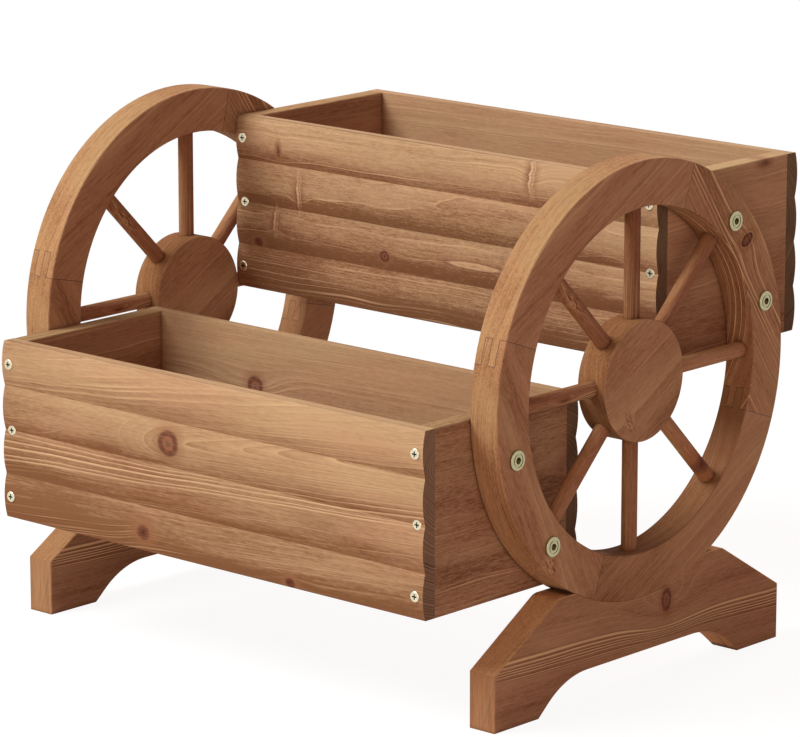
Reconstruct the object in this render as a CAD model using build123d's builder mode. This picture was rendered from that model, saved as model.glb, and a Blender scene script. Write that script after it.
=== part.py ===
from build123d import *
import math
import os

# Two-tier wooden wagon-wheel planter.
# Two boxes of half-log panels hang between two spoked wheels, the lower box in front and the
# upper box behind. Each wheel stands in the cradle of its own foot.
# Millimetres. X runs from the left wheel to the right wheel, Y from front to back, Z up.
# The origin is on the ground, midway between the wheels and straight below their centres.

# Wheels
wheel_diameter = 400.0
wheel_thickness = 31.5
rim_width = 42.0
hub_diameter = 111.0
axle_height = 281.4
spoke_count = 8
spoke_diameter = 14.5
spoke_in_hub = 22.0
spoke_in_rim = 12.0
felloe_names = ("top", "front", "bottom", "rear")
joint_angle = 70.2
finger_count = 4
finger_length = 24.0
wheel_chamfer = 0.8

# Feet
foot_length = 402.4
foot_thickness = 30.0
foot_end_height = 52.4
foot_cradle_depth = 23.0
foot_shoulder_half_width = 116.0
foot_shoulder_radius = 14.0
foot_arch_half_width = 142.0
foot_arch_height = 30.6
foot_arch_slope = 40.0
foot_arch_radius = 84.0
foot_chamfer = 0.8

# Boxes
panel_length = 524.2
panel_groove_thickness = 12.6
log_count = 4
log_pitch = 42.25
log_bulge = 3.2
panel_edge_radius = 1.2
box_depth = 200.8
end_thickness = 18.0
end_chamfer = 0.8
box_gap = 113.8
lower_box_drop = 172.8
upper_box_drop = 1.2

# Box floors
slat_count = 3
slat_thickness = 12.0
drain_gap = 6.0
slat_side_gap = 3.0
slat_end_gap = 1.0
batten_width = 18.0
batten_height = 20.0
batten_raise = 2.0
batten_end_gap = 1.0
floor_chamfer = 0.8

# Wheel bolts and their insert nuts: angles from the rear horizontal, at the middle of the rim
lower_bolt_angles = (192.9, 225.2)
upper_bolt_angles = (14.6, 44.9)
bolt_diameter = 8.0
bolt_head_diameter = 18.4
bolt_head_height = 2.4
bolt_head_edge = 1.0
bolt_socket_size = 6.0
bolt_socket_depth = 4.0
bolt_ring_diameter = 12.4
bolt_ring_width = 1.0
bolt_ring_depth = 0.5
insert_diameter = 12.5
insert_length = 15.0
bolt_tip_gap = 1.0

# Wood screws
panel_screw_diameter = 4.2
panel_screw_length = 42.0
panel_screw_head = 9.8
panel_screw_proud = 0.9
slat_screw_diameter = 3.5
slat_screw_length = 26.0
slat_screw_head = 7.0
batten_screw_diameter = 4.0
batten_screw_length = 30.0
batten_screw_head = 8.0
foot_screw_diameter = 5.0
foot_screw_bite = 26.2
foot_screw_head = 10.0
foot_screw_spacing = 60.0
foot_screw_recess = 15.0
batten_screw_spacing = 58.6
screw_point_length = 5.0
screw_head_edge = 0.4
cross_width = 1.3
cross_span = 5.2
cross_depth = 1.6

# Fits, each on the radius or on one face
dowel_fit = 0.1
bolt_fit = 0.25
screw_fit = 0.05

# Worked-out sizes
wheel_radius = wheel_diameter / 2
rim_inner_radius = wheel_radius - rim_width
rim_middle_radius = wheel_radius - rim_width / 2
wheel_inner_x = panel_length / 2
wheel_outer_x = wheel_inner_x + wheel_thickness
wheel_middle_x = wheel_inner_x + wheel_thickness / 2
felloe_angle = 360 / len(felloe_names)
finger_angle = math.degrees(finger_length / wheel_radius)
finger_thickness = wheel_thickness / finger_count
spoke_inner_radius = hub_diameter / 2 - spoke_in_hub
spoke_outer_radius = rim_inner_radius + spoke_in_rim
spoke_angles = [index * 360 / spoke_count for index in range(spoke_count)]
bolt_angles = lower_bolt_angles + upper_bolt_angles
panel_height = log_count * log_pitch
log_radius = ((log_pitch / 2) ** 2 + log_bulge**2) / (2 * log_bulge)
inner_depth = box_depth - 2 * panel_groove_thickness
inner_length = panel_length - 2 * end_thickness
panel_screw_x = panel_length / 2 - end_thickness / 2
panel_screw_rows = (log_pitch / 2, panel_height / 2, panel_height - log_pitch / 2)
slat_width = (inner_depth - 2 * slat_side_gap - (slat_count - 1) * drain_gap) / slat_count
slat_pitch = slat_width + drain_gap
slat_bottom = batten_raise + batten_height
batten_middle_x = inner_length / 2 - batten_width / 2
box_spacing = box_gap + box_depth
lower_box_base = axle_height - lower_box_drop
upper_box_base = axle_height - upper_box_drop
bolt_length = wheel_thickness + insert_length - bolt_tip_gap
foot_middle_x = wheel_outer_x - foot_thickness / 2
wheel_bottom_height = axle_height - wheel_radius
foot_shoulder_height = wheel_bottom_height + foot_cradle_depth
foot_screw_seat = foot_arch_height + foot_screw_recess
foot_screw_length = wheel_bottom_height - foot_screw_seat + foot_screw_bite

sides = {"left": -1, "right": 1}
boxes = {
    "lower": (-box_spacing / 2, lower_box_base, lower_bolt_angles),
    "upper": (box_spacing / 2, upper_box_base, upper_bolt_angles),
}


def save(piece, name):
    """Label a finished piece and write it as one STEP file."""
    piece.part.label = name
    export_step(piece.part, f"parts/{name}.step")


def wheel_plane(x):
    """Plane across the axle line at x, with its own x towards the back and its own y up."""
    return Plane(origin=(x, 0, axle_height), x_dir=(0, 1, 0), z_dir=(1, 0, 0))


def radial_plane(x, radius, angle):
    """Plane that faces outwards at a radius and an angle of the wheel."""
    turn = math.radians(angle)
    outwards = Vector(0, math.cos(turn), math.sin(turn))
    return Plane(Vector(x, 0, axle_height) + outwards * radius, x_dir=(1, 0, 0), z_dir=outwards)


def wheel_point(radius, angle):
    """Point in a wheel plane."""
    return (radius * math.cos(math.radians(angle)), radius * math.sin(math.radians(angle)))


def lies_between(angle, start, stop):
    """Whether an angle lies in the turn from start to stop."""
    return (angle - start) % 360 < stop - start


# Wheels

def rim_section(side, angle, finger):
    """One finger's share of the rim's cross-section, on the plane through the axle at an angle."""
    turn = math.radians(angle)
    half_plane = Plane(
        origin=(0, 0, axle_height),
        x_dir=(side, 0, 0),
        z_dir=(0, -side * math.sin(turn), side * math.cos(turn)),
    )
    finger_middle_x = wheel_outer_x - (finger + 0.5) * finger_thickness
    with BuildSketch(half_plane) as section:
        with Locations((wheel_middle_x, rim_middle_radius)):
            Rectangle(wheel_thickness, rim_width)
        chamfer(section.vertices(), wheel_chamfer)
        with Locations((finger_middle_x, rim_middle_radius)):
            Rectangle(finger_thickness, rim_width, mode=Mode.INTERSECT)
    return section.sketch


def make_felloe(side, start):
    """Quarter of a rim. Its ends are fingers that interlock with those of the next felloes."""
    stop = start + felloe_angle
    axle = Axis((0, 0, axle_height), (1, 0, 0))
    with BuildPart() as felloe:
        for finger in range(finger_count):
            lead = finger_angle if finger % 2 else 0
            revolve(rim_section(side, start + lead, finger), axis=axle, revolution_arc=felloe_angle)
        for angle in spoke_angles:
            if lies_between(angle, start, stop):
                with BuildSketch(radial_plane(side * wheel_middle_x, spoke_outer_radius, angle)):
                    Circle(spoke_diameter / 2 + dowel_fit)
                extrude(amount=-2 * spoke_in_rim, mode=Mode.SUBTRACT)
        holes = [wheel_point(rim_middle_radius, a) for a in bolt_angles if lies_between(a, start, stop)]
        if holes:
            with BuildSketch(wheel_plane(side * wheel_outer_x)):
                with Locations(*holes):
                    Circle(bolt_diameter / 2 + bolt_fit)
            extrude(amount=-side * wheel_thickness, mode=Mode.SUBTRACT)
        if lies_between(270, start, stop):
            with BuildSketch(foot_screw_plane(side)):
                with GridLocations(1, foot_screw_spacing, 1, 2):
                    Circle(foot_screw_diameter / 2 + screw_fit)
            extrude(amount=foot_screw_length, mode=Mode.SUBTRACT)
    return felloe


def make_hub(side):
    """Disc with a blind hole for each spoke."""
    with BuildPart() as hub:
        with BuildSketch(wheel_plane(side * wheel_outer_x)):
            Circle(hub_diameter / 2)
        extrude(amount=-side * wheel_thickness)
        chamfer(hub.edges().filter_by(GeomType.CIRCLE), wheel_chamfer)
        for angle in spoke_angles:
            with BuildSketch(radial_plane(side * wheel_middle_x, spoke_inner_radius, angle)):
                Circle(spoke_diameter / 2 + dowel_fit)
            extrude(amount=spoke_in_hub + wheel_chamfer, mode=Mode.SUBTRACT)
    return hub


def make_spoke(side, angle):
    """Round dowel from the hub's blind hole to the rim's."""
    with BuildPart() as spoke:
        with BuildSketch(radial_plane(side * wheel_middle_x, spoke_inner_radius, angle)):
            Circle(spoke_diameter / 2)
        extrude(amount=spoke_outer_radius - spoke_inner_radius)
    return spoke


def make_bolts(side):
    """Flat-headed bolts through the rim, each with a hexagon socket and a turned ring."""
    spots = [wheel_point(rim_middle_radius, angle) for angle in bolt_angles]
    head_face = wheel_plane(side * (wheel_outer_x + bolt_head_height))
    with BuildPart() as bolts:
        with BuildSketch(wheel_plane(side * wheel_outer_x)):
            with Locations(*spots):
                Circle(bolt_head_diameter / 2)
        extrude(amount=side * bolt_head_height)
        rim_edges = bolts.edges().filter_by(GeomType.CIRCLE).group_by(Axis.X)
        fillet(rim_edges[-1] if side > 0 else rim_edges[0], bolt_head_edge)
        with BuildSketch(wheel_plane(side * wheel_outer_x)):
            with Locations(*spots):
                Circle(bolt_diameter / 2)
        extrude(amount=-side * bolt_length)
        with BuildSketch(head_face):
            with Locations(*spots):
                Circle(bolt_ring_diameter / 2)
                Circle(bolt_ring_diameter / 2 - bolt_ring_width, mode=Mode.SUBTRACT)
        extrude(amount=-side * bolt_ring_depth, mode=Mode.SUBTRACT)
        with BuildSketch(head_face):
            with Locations(*spots):
                RegularPolygon(bolt_socket_size / 2, side_count=6, major_radius=False)
        extrude(amount=-side * bolt_socket_depth, mode=Mode.SUBTRACT)
    return bolts


def make_insert_nuts(side):
    """Threaded sleeves, let into the box ends, that the wheel bolts screw into."""
    with BuildPart() as nuts:
        with BuildSketch(wheel_plane(side * wheel_inner_x)):
            with Locations(*[wheel_point(rim_middle_radius, angle) for angle in bolt_angles]):
                Circle(insert_diameter / 2)
                Circle(bolt_diameter / 2 + screw_fit, mode=Mode.SUBTRACT)
        extrude(amount=-side * insert_length)
    return nuts


# Feet

def foot_screw_plane(side):
    """Level plane over the middle of a foot, at the height where its screws' heads sit."""
    return Plane(origin=(side * foot_middle_x, 0, foot_screw_seat))


def make_foot(side):
    """Plank on edge: two pads, a shallow arch between them and a cradle for the wheel."""
    arch_corner = foot_arch_half_width - foot_arch_height / math.tan(math.radians(foot_arch_slope))
    half_length = foot_length / 2
    with BuildPart() as foot:
        with BuildSketch(Plane.YZ.offset(side * wheel_outer_x)):
            with BuildLine():
                upper = FilletPolyline(
                    (foot_arch_half_width, 0),
                    (half_length, 0),
                    (half_length, foot_end_height),
                    (foot_shoulder_half_width, foot_shoulder_height),
                    (0, foot_shoulder_height),
                    radius=(0, 0, foot_shoulder_radius),
                )
                under = FilletPolyline(
                    (foot_arch_half_width, 0),
                    (arch_corner, foot_arch_height),
                    (0, foot_arch_height),
                    radius=foot_arch_radius,
                )
                mirror(upper, about=Plane.YZ)
                mirror(under, about=Plane.YZ)
            make_face()
            with Locations((0, axle_height)):
                Circle(wheel_radius, mode=Mode.SUBTRACT)
        extrude(amount=-side * foot_thickness)
        chamfer(foot.faces().filter_by(Axis.X).edges(), foot_chamfer)
        with Locations(Plane(foot_screw_plane(side).origin, z_dir=(0, 0, -1))):
            with GridLocations(1, foot_screw_spacing, 1, 2):
                CounterSinkHole(
                    foot_screw_diameter / 2 + screw_fit, foot_screw_head / 2 + screw_fit, foot_length
                )
    return foot


# Screws

def make_screw(diameter, length, head_diameter, proud, has_cross=False):
    """Countersunk wood screw that points down. Its head stands proud of the origin's plane."""
    shank = diameter / 2
    head = head_diameter / 2
    rim = [(head - screw_head_edge, proud), (head, proud - screw_head_edge)] if proud else []
    with BuildPart() as screw:
        with BuildSketch(Plane.XZ):
            with BuildLine():
                Polyline(
                    (0, proud),
                    *rim,
                    (head, 0),
                    (shank, shank - head),
                    (shank, screw_point_length - length),
                    (0, -length),
                    close=True,
                )
            make_face()
        revolve(axis=Axis.Z)
        if has_cross:
            with BuildSketch(Plane.XY.offset(proud)):
                Rectangle(cross_span, cross_width)
                Rectangle(cross_width, cross_span)
            extrude(amount=-cross_depth, mode=Mode.SUBTRACT)
    return screw.part


# Boxes

def log_surface(height):
    """How far the face of the half logs stands in front of their grooves at a height."""
    from_middle = height % log_pitch - log_pitch / 2
    return math.sqrt(log_radius**2 - from_middle**2) - (log_radius - log_bulge)


panel_screw_spots = [
    (x, height, log_surface(height)) for x in (-panel_screw_x, panel_screw_x) for height in panel_screw_rows
]


def panel_plane(box_y, base, outward):
    """Plane in the grooves of a long panel. It faces outwards and its own y is up."""
    return Plane(
        origin=(0, box_y + outward * box_depth / 2, base),
        x_dir=(-outward, 0, 0),
        z_dir=(0, outward, 0),
    )


def make_long_panel(box_y, base, outward):
    """Front or back of a box, milled to look like a stack of half logs."""
    grooves = panel_plane(box_y, base, outward)
    end_plane = Plane(
        grooves.origin - Vector(outward * panel_length / 2, 0, 0),
        x_dir=(0, outward, 0),
        z_dir=(outward, 0, 0),
    )
    with BuildPart() as panel:
        with BuildSketch(end_plane) as section:
            with BuildLine():
                for log in range(log_count):
                    ThreePointArc(
                        (0, log * log_pitch),
                        (log_bulge, (log + 0.5) * log_pitch),
                        (0, (log + 1) * log_pitch),
                    )
                Polyline(
                    (0, panel_height),
                    (-panel_groove_thickness, panel_height),
                    (-panel_groove_thickness, 0),
                    (0, 0),
                )
            make_face()
            rows = section.vertices().group_by(Axis.Y)
            fillet([rows[0].sort_by(Axis.X)[-1], rows[-1].sort_by(Axis.X)[-1]], panel_edge_radius)
        extrude(amount=panel_length)
        with Locations(grooves):
            with Locations(*panel_screw_spots):
                CounterSinkHole(
                    panel_screw_diameter / 2 + screw_fit, panel_screw_head / 2 + screw_fit, box_depth / 2
                )
    return panel


def make_end_panel(side, box_y, base, angles):
    """Flat end of a box, with holes for the insert nuts and for the screws that hold it."""
    with BuildPart() as end:
        with BuildSketch(Plane(origin=(side * panel_screw_x, box_y, base))):
            Rectangle(end_thickness, inner_depth)
        extrude(amount=panel_height)
        top_face = end.faces().sort_by(Axis.Z)[-1]
        chamfer(top_face.edges().filter_by(Axis.Y), end_chamfer)
        with BuildSketch(wheel_plane(side * wheel_inner_x)):
            with Locations(*[wheel_point(rim_middle_radius, angle) for angle in angles]):
                Circle(insert_diameter / 2 + screw_fit)
        extrude(amount=-side * insert_length, mode=Mode.SUBTRACT)
        for outward in (-1, 1):
            with BuildSketch(panel_plane(box_y, base, outward)):
                with Locations(*[(-outward * side * panel_screw_x, row) for row in panel_screw_rows]):
                    Circle(panel_screw_diameter / 2 + screw_fit)
            extrude(amount=-panel_screw_length, mode=Mode.SUBTRACT)
        with BuildSketch(batten_screw_plane(side, box_y, base)):
            with GridLocations(batten_screw_spacing, 1, 2, 1):
                Circle(batten_screw_diameter / 2 + screw_fit)
        extrude(amount=-batten_screw_length, mode=Mode.SUBTRACT)
    return end


def batten_screw_plane(side, box_y, base):
    """Plane on a batten's free side, at mid height. It faces the middle of the box."""
    return Plane(
        origin=(side * (inner_length / 2 - batten_width), box_y, base + batten_raise + batten_height / 2),
        x_dir=(0, side, 0),
        z_dir=(-side, 0, 0),
    )


def make_batten(side, box_y, base):
    """Strip inside a box end that carries the floor slats."""
    with BuildPart() as batten:
        with BuildSketch(Plane(origin=(side * batten_middle_x, box_y, base + batten_raise))):
            Rectangle(batten_width, inner_depth - 2 * batten_end_gap)
        extrude(amount=batten_height)
        with Locations(batten_screw_plane(side, box_y, base)):
            with GridLocations(batten_screw_spacing, 1, 2, 1):
                CounterSinkHole(
                    batten_screw_diameter / 2 + screw_fit, batten_screw_head / 2 + screw_fit, batten_width
                )
        with Locations(slat_top_plane(box_y, base)):
            with Locations(*slat_screw_spots):
                Hole(slat_screw_diameter / 2 + screw_fit, slat_screw_length)
    return batten


slat_spots = [(index - (slat_count - 1) / 2) * slat_pitch for index in range(slat_count)]
slat_screw_spots = [(x, y) for x in (-batten_middle_x, batten_middle_x) for y in slat_spots]


def slat_top_plane(box_y, base):
    """Level plane on top of a box's floor slats."""
    return Plane(origin=(0, box_y, base + slat_bottom + slat_thickness))


def make_slat(box_y, base, spot):
    """One board of a box floor. Water drains through the gaps beside it."""
    top = slat_top_plane(box_y, base)
    with BuildPart() as slat:
        with BuildSketch(Plane(top.origin + Vector(0, spot, 0))):
            Rectangle(inner_length - 2 * slat_end_gap, slat_width)
        extrude(amount=-slat_thickness)
        chamfer(slat.faces().sort_by(Axis.Z)[-1].edges().filter_by(Axis.X), floor_chamfer)
        with Locations(Plane(top.origin + Vector(0, spot, 0))):
            with GridLocations(2 * batten_middle_x, 1, 2, 1):
                CounterSinkHole(
                    slat_screw_diameter / 2 + screw_fit, slat_screw_head / 2 + screw_fit, slat_thickness
                )
    return slat


def make_screws(screw, planes, spots):
    """Like screws, one at each spot of each plane."""
    with BuildPart() as screws:
        with Locations(*planes):
            with Locations(*spots):
                add(screw)
    return screws


os.makedirs("parts", exist_ok=True)

panel_screw = make_screw(
    panel_screw_diameter, panel_screw_length, panel_screw_head, panel_screw_proud, has_cross=True
)
slat_screw = make_screw(slat_screw_diameter, slat_screw_length, slat_screw_head, 0)
batten_screw = make_screw(batten_screw_diameter, batten_screw_length, batten_screw_head, 0)
foot_screw = make_screw(foot_screw_diameter, foot_screw_length, foot_screw_head, 0)

for side_name, side in sides.items():
    for index, felloe_name in enumerate(felloe_names):
        save(make_felloe(side, joint_angle + index * felloe_angle), f"{side_name}_felloe_{felloe_name}")
    save(make_hub(side), f"{side_name}_hub")
    for index, angle in enumerate(spoke_angles):
        save(make_spoke(side, angle), f"{side_name}_spoke_{index + 1}")
    save(make_bolts(side), f"{side_name}_wheel_bolts")
    save(make_insert_nuts(side), f"{side_name}_insert_nuts")
    save(make_foot(side), f"{side_name}_foot")
    under = Plane(foot_screw_plane(side).origin, z_dir=(0, 0, -1))
    foot_screw_spots = [(0, -foot_screw_spacing / 2), (0, foot_screw_spacing / 2)]
    save(make_screws(foot_screw, [under], foot_screw_spots), f"{side_name}_foot_screws")

for box_name, (box_y, base, angles) in boxes.items():
    panel_planes = [panel_plane(box_y, base, outward) for outward in (-1, 1)]
    batten_planes = [batten_screw_plane(side, box_y, base) for side in (-1, 1)]
    save(make_long_panel(box_y, base, -1), f"{box_name}_front_panel")
    save(make_long_panel(box_y, base, 1), f"{box_name}_back_panel")
    for side_name, side in sides.items():
        save(make_end_panel(side, box_y, base, angles), f"{box_name}_{side_name}_end")
        save(make_batten(side, box_y, base), f"{box_name}_{side_name}_batten")
    for index, spot in enumerate(slat_spots):
        save(make_slat(box_y, base, spot), f"{box_name}_floor_slat_{index + 1}")
    save(make_screws(panel_screw, panel_planes, panel_screw_spots), f"{box_name}_panel_screws")
    save(make_screws(slat_screw, [slat_top_plane(box_y, base)], slat_screw_spots), f"{box_name}_slat_screws")
    batten_screw_spots = [(-batten_screw_spacing / 2, 0), (batten_screw_spacing / 2, 0)]
    save(make_screws(batten_screw, batten_planes, batten_screw_spots), f"{box_name}_batten_screws")
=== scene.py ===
"""Two-tier wooden wagon-wheel planter: finishes for its boards, dowels and fasteners, its glue lines
and its stage."""

import functools
import math

import bpy
import numpy as np
from mathutils import Matrix, Vector


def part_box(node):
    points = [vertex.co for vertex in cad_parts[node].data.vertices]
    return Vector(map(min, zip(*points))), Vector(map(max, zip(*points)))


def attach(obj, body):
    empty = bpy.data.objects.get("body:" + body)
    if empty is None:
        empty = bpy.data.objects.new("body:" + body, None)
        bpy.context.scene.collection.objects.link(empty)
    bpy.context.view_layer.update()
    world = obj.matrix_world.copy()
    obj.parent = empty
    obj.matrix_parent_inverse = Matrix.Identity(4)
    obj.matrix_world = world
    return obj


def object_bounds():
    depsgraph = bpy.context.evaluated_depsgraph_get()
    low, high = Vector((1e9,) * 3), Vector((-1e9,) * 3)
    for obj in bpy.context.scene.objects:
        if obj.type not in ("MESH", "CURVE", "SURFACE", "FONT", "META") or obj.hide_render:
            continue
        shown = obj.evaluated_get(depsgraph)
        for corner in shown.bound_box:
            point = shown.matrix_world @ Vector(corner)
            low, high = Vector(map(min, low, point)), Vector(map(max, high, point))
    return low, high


bl_info = {
    "name": "Wagon Wheel Planter",
    "version": (1, 0, 0),
    "blender": (4, 5, 0),
    "location": "View3D > Sidebar > Planter",
    "description": "Finishes a wooden wagon-wheel planter and lays its stage",
    "category": "Object",
}

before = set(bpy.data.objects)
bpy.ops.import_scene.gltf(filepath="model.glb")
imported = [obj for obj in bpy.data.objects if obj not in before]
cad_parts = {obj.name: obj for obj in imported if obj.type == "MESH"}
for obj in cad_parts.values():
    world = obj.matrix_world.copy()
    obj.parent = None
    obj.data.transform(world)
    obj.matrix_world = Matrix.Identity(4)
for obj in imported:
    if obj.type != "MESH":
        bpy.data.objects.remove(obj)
cad_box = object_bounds()

MM = 0.001
SIDES = {"left": -1, "right": 1}
BOXES = ("lower", "upper")


def stain(code):
    """Linear colour of an sRGB hex code."""
    parts = [int(code[i : i + 2], 16) / 255 for i in (1, 3, 5)]
    return tuple(c / 12.92 if c <= 0.04045 else ((c + 0.055) / 1.055) ** 2.4 for c in parts)


def colour(name, description, code):
    """Colour property with an sRGB hex default."""
    return bpy.props.FloatVectorProperty(
        name=name, description=description, subtype="COLOR", size=3, min=0, max=1, default=stain(code)
    )


def length(name, description, millimetres):
    """Length property with its default in millimetres."""
    return bpy.props.FloatProperty(
        name=name,
        description=description,
        subtype="DISTANCE",
        unit="LENGTH",
        min=0,
        default=millimetres * MM,
    )


def degrees(name, description, value):
    """Angle property with its default in degrees."""
    return bpy.props.FloatProperty(
        name=name,
        description=description,
        subtype="ANGLE",
        unit="ROTATION",
        default=math.radians(value),
    )


def number(name, description, value):
    """Plain number property."""
    return bpy.props.FloatProperty(name=name, description=description, min=0, default=value)


class PLANTER_PG_wood(bpy.types.PropertyGroup):
    """Stains and figure of the fir boards."""

    panel_stain: colour("Log panels", "Stain on the half-log panels", "#b79370")
    end_stain: colour("Box ends", "Stain on the box ends", "#aa8266")
    wheel_stain: colour("Wheels", "Stain on the felloes, hubs and spokes", "#b99166")
    foot_stain: colour("Feet", "Stain on the feet", "#b18669")
    floor_stain: colour("Box floors", "Stain on the slats and battens", "#a9744f")
    grain_line: colour("Raised grain", "Pale crest of the raised grain", "#e6c197")
    knot: colour("Knots", "Heart of a sound knot", "#8f5a44")
    bark: colour("Bark ring", "Dark ring round a knot", "#64342a")
    pith: colour("Pith", "Black middle of a knot", "#1d130e")
    end_grain: colour("End grain", "Sawn ends, which drink more stain", "#654f3f")
    glue: colour("Glue line", "Stained glue line between two felloes", "#5a3720")
    fibre_width: length("Fibre width", "Width of a fibre, drawn coarser than real so that it shows", 1.1)
    line_width: length("Crest width", "Width of a crest of raised grain", 1.8)


class PLANTER_PG_wheel(bpy.types.PropertyGroup):
    """Sizes of the wheel's glue lines."""

    rim_width: length("Rim width", "Felloe from its inner edge to its tread", 42.0)
    finger_length: length("Finger length", "Finger joint along the tread", 24.0)
    finger_count: bpy.props.IntProperty(
        name="Fingers", description="Strips across a joint", min=2, default=4
    )
    joint_angle: degrees("First joint", "First joint above the rear horizontal, on the outer face", 70.2)
    edge_width: length("Eased edge", "Chamfer that the glue lines stop at", 0.8)
    glue_width: length("Glue width", "Width of a glue line", 0.55)
    glue_lift: length("Glue lift", "Height of a glue line above the wood", 0.03)
    glue_depth: length("Glue depth", "Depth of a glue line in the wood", 0.2)


class PLANTER_PG_metal(bpy.types.PropertyGroup):
    """Platings of the fasteners, and the painted shade in their recesses."""

    bolt_plate: colour("Bolts", "Yellow-passivated zinc on the wheel bolts", "#b3aa87")
    screw_plate: colour("Screws", "Zinc on the wood screws", "#e9dfc3")
    # Painted shade in the bolts' sockets and the screws' crosses
    recess_shade: colour("Recess shade", "Grease in the bolts' sockets and the screws' crosses", "#1d1b14")


class PLANTER_PG_stage(bpy.types.PropertyGroup):
    """Floor, light and camera."""

    floor: colour("Floor", "Floor under the planter, for the light that it bounces", "#dccfc2")
    floor_size: length("Floor size", "Side of the floor", 60000.0)
    sky: colour("Sky", "Colour of the even light from all round, and of the fill light", "#ffdccc")
    sky_strength: number("Sky strength", "Strength of the even light from all round", 0.22)
    key: number("Key light", "Power of the large soft light in front and above, in watts", 148.0)
    fill: number("Fill light", "Power of the soft light in front and to the right, in watts", 24.0)
    back: number("Back light", "Power of the soft light behind and above, in watts", 50.0)
    shadow: number("Shadow", "How dark the planter's shadow on the floor can get", 0.16)
    lens: bpy.props.FloatProperty(
        name="Lens", description="Focal length", subtype="DISTANCE_CAMERA", unit="CAMERA", default=204.92
    )
    camera: bpy.props.FloatVectorProperty(
        name="Camera",
        description="Place of the camera",
        subtype="TRANSLATION",
        unit="LENGTH",
        default=(2.77237, -3.07491, 1.21166),
    )
    turn: degrees("Turn", "Camera turn about Z", 42.0308)
    dip: degrees("Dip", "Camera dip below level", 13.1157)


# Materials

# Settings that many nodes share
TIMES = {"operation": "MULTIPLY"}
TIMES_PLUS = {"operation": "MULTIPLY_ADD"}
DOT = {"operation": "DOT_PRODUCT"}
LARGER = {"operation": "MAXIMUM"}
LESS = {"operation": "SUBTRACT"}
SMOOTH = {"interpolation_type": "SMOOTHSTEP"}
COLOURS = {"data_type": "RGBA"}
TINTED = {"data_type": "RGBA", "blend_type": "MULTIPLY"}


def add(tree, kind, settings=None, inputs=None, out=0):
    """Add a node, set its properties, write or link its inputs, and return one of its outputs."""
    node = tree.nodes.new(kind)
    for key, value in (settings or {}).items():
        if key == "stops":
            ramp = node.color_ramp.elements
            while len(ramp) < len(value):
                ramp.new(0.5)
            for stop, (position, tone) in zip(ramp, value):
                stop.position = position
                stop.color = tone
        else:
            setattr(node, key, value)
    for key, value in (inputs or {}).items():
        if isinstance(value, bpy.types.NodeSocket):
            tree.links.new(value, node.inputs[key])
        else:
            node.inputs[key].default_value = value
    return node.outputs[out] if node.outputs else None


def new_material(name):
    """Empty node material with its tree."""
    material = bpy.data.materials.new(name)
    material.use_nodes = True
    material.node_tree.nodes.clear()
    return material, material.node_tree


def shade(tone, red, green, blue, alpha=1.0):
    """A stain made lighter or darker, channel by channel."""
    return (min(tone[0] * red, 1), min(tone[1] * green, 1), min(tone[2] * blue, 1), alpha)


# Tints of a board's own stain, and of the painted shade in its grooves
PALEST = (1.26, 1.38, 1.40)  # where least of it went in
DARKEST = (0.56, 0.43, 0.36)  # where most of it went in
LATE = (0.40, 0.30, 0.24)  # late wood
HALO = (0.74, 0.56, 0.50)  # the wood round a knot
CREVICE_SHADE = (0.24, 0.16, 0.12)  # painted shade in grooves and corners


def knot_stops(look, tone):
    """Colours from a knot's pith out to twice its radius, where it has melted into the wood."""
    wood = bpy.context.scene.planter_wood
    pith, bark, knot, crest = wood.pith, wood.bark, wood.knot, wood.grain_line
    glow = shade(tone, *HALO)[:3]
    return {
        # Round knot: black pith, paler heart wood, a thick reddish-brown ring and a faint glow
        "sound": (
            (0.00, (*pith, 0.9)), (0.05, (*pith, 0.5)), (0.10, (*bark, 0.7)), (0.17, (*knot, 0.75)),
            (0.27, (*knot, 0.9)), (0.34, (*bark, 0.8)), (0.46, (*bark, 0.72)), (0.56, (*glow, 0.5)),
            (0.95, (*glow, 0.0)),
        ),
        # Soft knot just under the surface: only a blurred shadow of it shows
        "soft": (
            (0.00, (*bark, 0.95)), (0.12, (*bark, 0.75)), (0.26, (*bark, 0.62)), (0.42, (*glow, 0.8)),
            (0.95, (*glow, 0.0)),
        ),
        # Bark pocket: a dark oval with a thin pale line round it
        "dark": (
            (0.00, (*glow, 0.95)), (0.20, (*bark, 0.72)), (0.32, (*bark, 0.8)), (0.40, (*bark, 0.95)),
            (0.46, (*bark, 0.8)), (0.51, (*crest, 0.12)), (0.57, (*glow, 0.65)), (1.0, (*glow, 0.0)),
        ),
        # Scar: a patch of torn fibres, read from streaky noise, dark in hollows and pale on threads
        "scar": (
            (0.34, (*bark, 0.9)), (0.42, (*glow, 0.9)), (0.49, (*glow, 0.4)), (0.54, (*crest, 0.75)),
            (0.59, (*crest, 0.3)), (0.68, (*glow, 0.7)),
        ),
        # Ridge: a pale line of torn fibres across the grain between shadows, read from side to side
        "ridge": (
            (0.05, (*glow, 0.0)), (0.25, (*glow, 0.65)), (0.37, (*bark, 0.7)), (0.43, (*crest, 0.75)),
            (0.49, (*crest, 0.4)), (0.54, (*bark, 0.45)), (0.59, (*crest, 0.3)), (0.66, (*bark, 0.45)),
            (0.78, (*glow, 0.4)), (0.97, (*glow, 0.0)),
        ),
        # Lens: a pale sliver of sapwood with a dark rim
        "lens": (
            (0.00, (*glow, 0.5)), (0.10, (*crest, 0.5)), (0.36, (*crest, 0.65)), (0.46, (*bark, 0.45)),
            (0.60, (*glow, 0.25)), (0.9, (*glow, 0.0)),
        ),
    }[look]


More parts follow.
